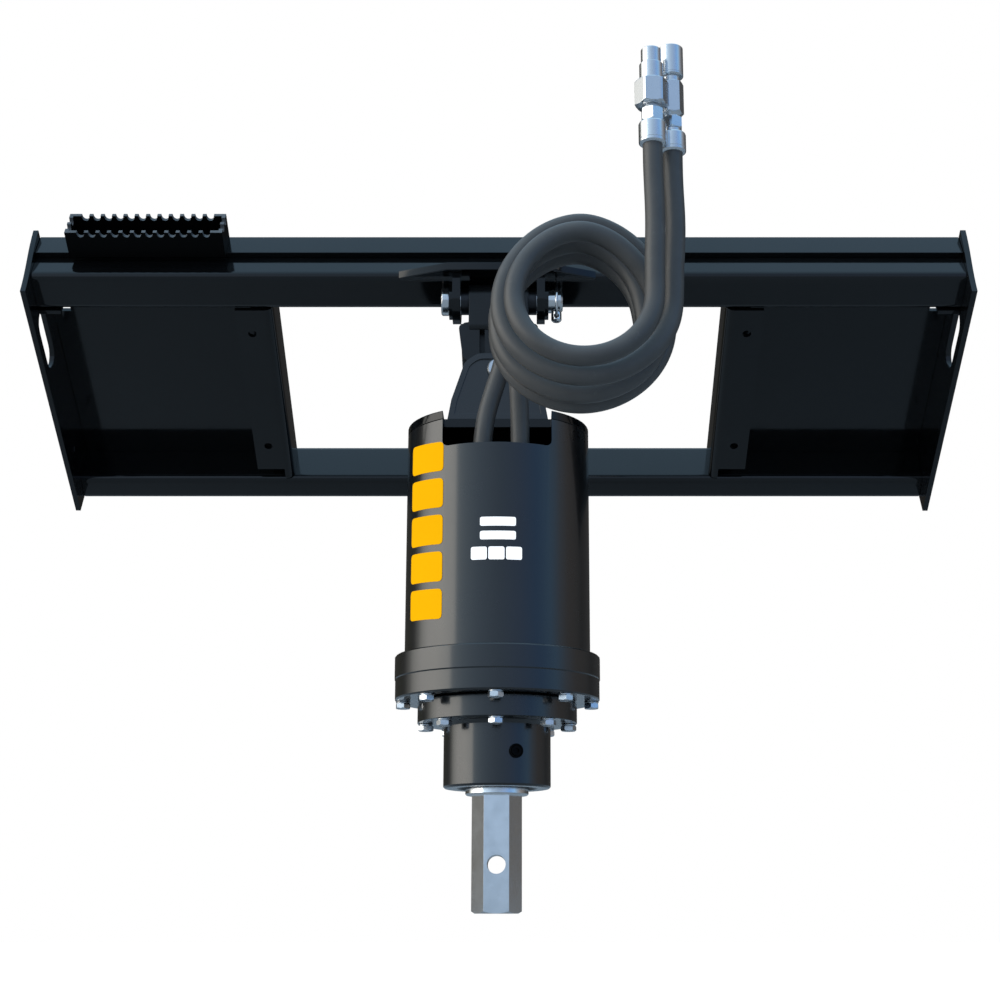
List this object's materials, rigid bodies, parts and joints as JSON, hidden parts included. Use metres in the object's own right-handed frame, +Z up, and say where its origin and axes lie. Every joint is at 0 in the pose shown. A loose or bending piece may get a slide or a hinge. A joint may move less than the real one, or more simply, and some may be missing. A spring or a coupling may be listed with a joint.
{
  "type": "earth auger drive",
  "caption": "Hydraulic auger drive with a hexagon output shaft, hung from a two-axis hitch on a leaning quick-attach frame, with coiled hoses.",
  "frame": {"origin": "middle of the top beam's flat machine-side face", "axes": "+X along the frame to the right seen from the front, +Y towards the machine, +Z up with the drive hanging plumb"},
  "size_m": [1.19, 0.6708, 0.9598],
  "materials": {
    "black_paint": "glossy black powder coat",
    "black_casting": "black paint on cast steel",
    "zinc": "bright zinc plate",
    "shaft_steel": "machined steel",
    "dark_steel": "oiled dark steel",
    "hose_rubber": "satin dark grey hose cover"
  },
  "bodies": {
    "frame": {"side_plate_left": "black_paint", "side_plate_right": "black_paint", "top_beam": "black_paint", "top_lip": "black_paint", "lower_rail": "black_paint", "back_panel_left": "black_paint", "back_panel_right": "black_paint", "corner_gusset_left": "black_paint", "corner_gusset_right": "black_paint", "step_tread": "black_paint", "wing_plate": "black_paint", "hitch_ear_left": "black_paint", "hitch_ear_right": "black_paint", "upper_hinge_pin": "zinc", "upper_linch_pin": "zinc"},
    "linch_ring": {"upper_linch_ring": "zinc"},
    "link": {"swing_link": "black_casting", "link_bush": "dark_steel"},
    "drive": {"hood_ear_front": "black_paint", "hood_ear_rear": "black_paint", "lower_pivot_pin": "zinc", "lower_linch_pin": "zinc", "lower_linch_ring": "zinc", "hood_shell": "black_paint", "hood_cap": "black_paint", "gearbox_adapter": "black_casting", "ring_gear_housing": "black_paint", "output_housing": "black_paint", "ring_bolt_1": "zinc", "ring_bolt_2": "zinc", "ring_bolt_3": "zinc", "ring_bolt_4": "zinc", "ring_bolt_5": "zinc", "ring_bolt_6": "zinc", "ring_bolt_7": "zinc", "ring_bolt_8": "zinc", "flange_bolt_1": "zinc", "flange_bolt_2": "zinc", "flange_bolt_3": "zinc", "flange_bolt_4": "zinc", "flange_bolt_5": "zinc", "flange_bolt_6": "zinc", "flange_bolt_7": "zinc", "flange_bolt_8": "zinc", "level_plug": "dark_steel", "hydraulic_motor": "black_casting", "port_fitting_left": "zinc", "port_fitting_right": "zinc", "hose_left_lower": "hose_rubber", "hose_right_lower": "hose_rubber", "hose_coil": "hose_rubber", "hose_left_upper": "hose_rubber", "hose_right_upper": "hose_rubber", "hose_ferrule_left": "zinc", "hose_ferrule_right": "zinc", "coupler_male": "zinc", "coupler_female": "zinc"},
    "sleeve": {"coupler_sleeve": "zinc"},
    "output": {"output_shaft": "shaft_steel"}
  },
  "joints": [
    {"name": "fore_aft_swing", "type": "hinge", "parent": "frame", "child": "link", "pos_m": [0, -0.0523, -0.0777], "axis": [1, 0, 0], "range_deg": [-30, 30]},
    {"name": "side_swing", "type": "hinge", "parent": "link", "child": "drive", "pos_m": [0, -0.0523, -0.1833], "axis": [0, 1, 0], "range_deg": [-25, 25]},
    {"name": "output_turn", "type": "hinge", "parent": "drive", "child": "output", "pos_m": [0, -0.0523, -0.7], "axis": [0, 0, 1], "continuous": true},
    {"name": "sleeve_pull", "type": "slide", "parent": "drive", "child": "sleeve", "axis": [0, 0, 1], "range_m": [-0.006, 0], "stiffness_N_per_m": 1500},
    {"name": "linch_ring_swing", "type": "hinge", "parent": "frame", "child": "linch_ring", "pos_m": [0.072, -0.0523, -0.09825], "axis": [0, 1, 0], "range_deg": [0, 120], "stiffness_Nm_per_rad": 0.05}
  ]
}
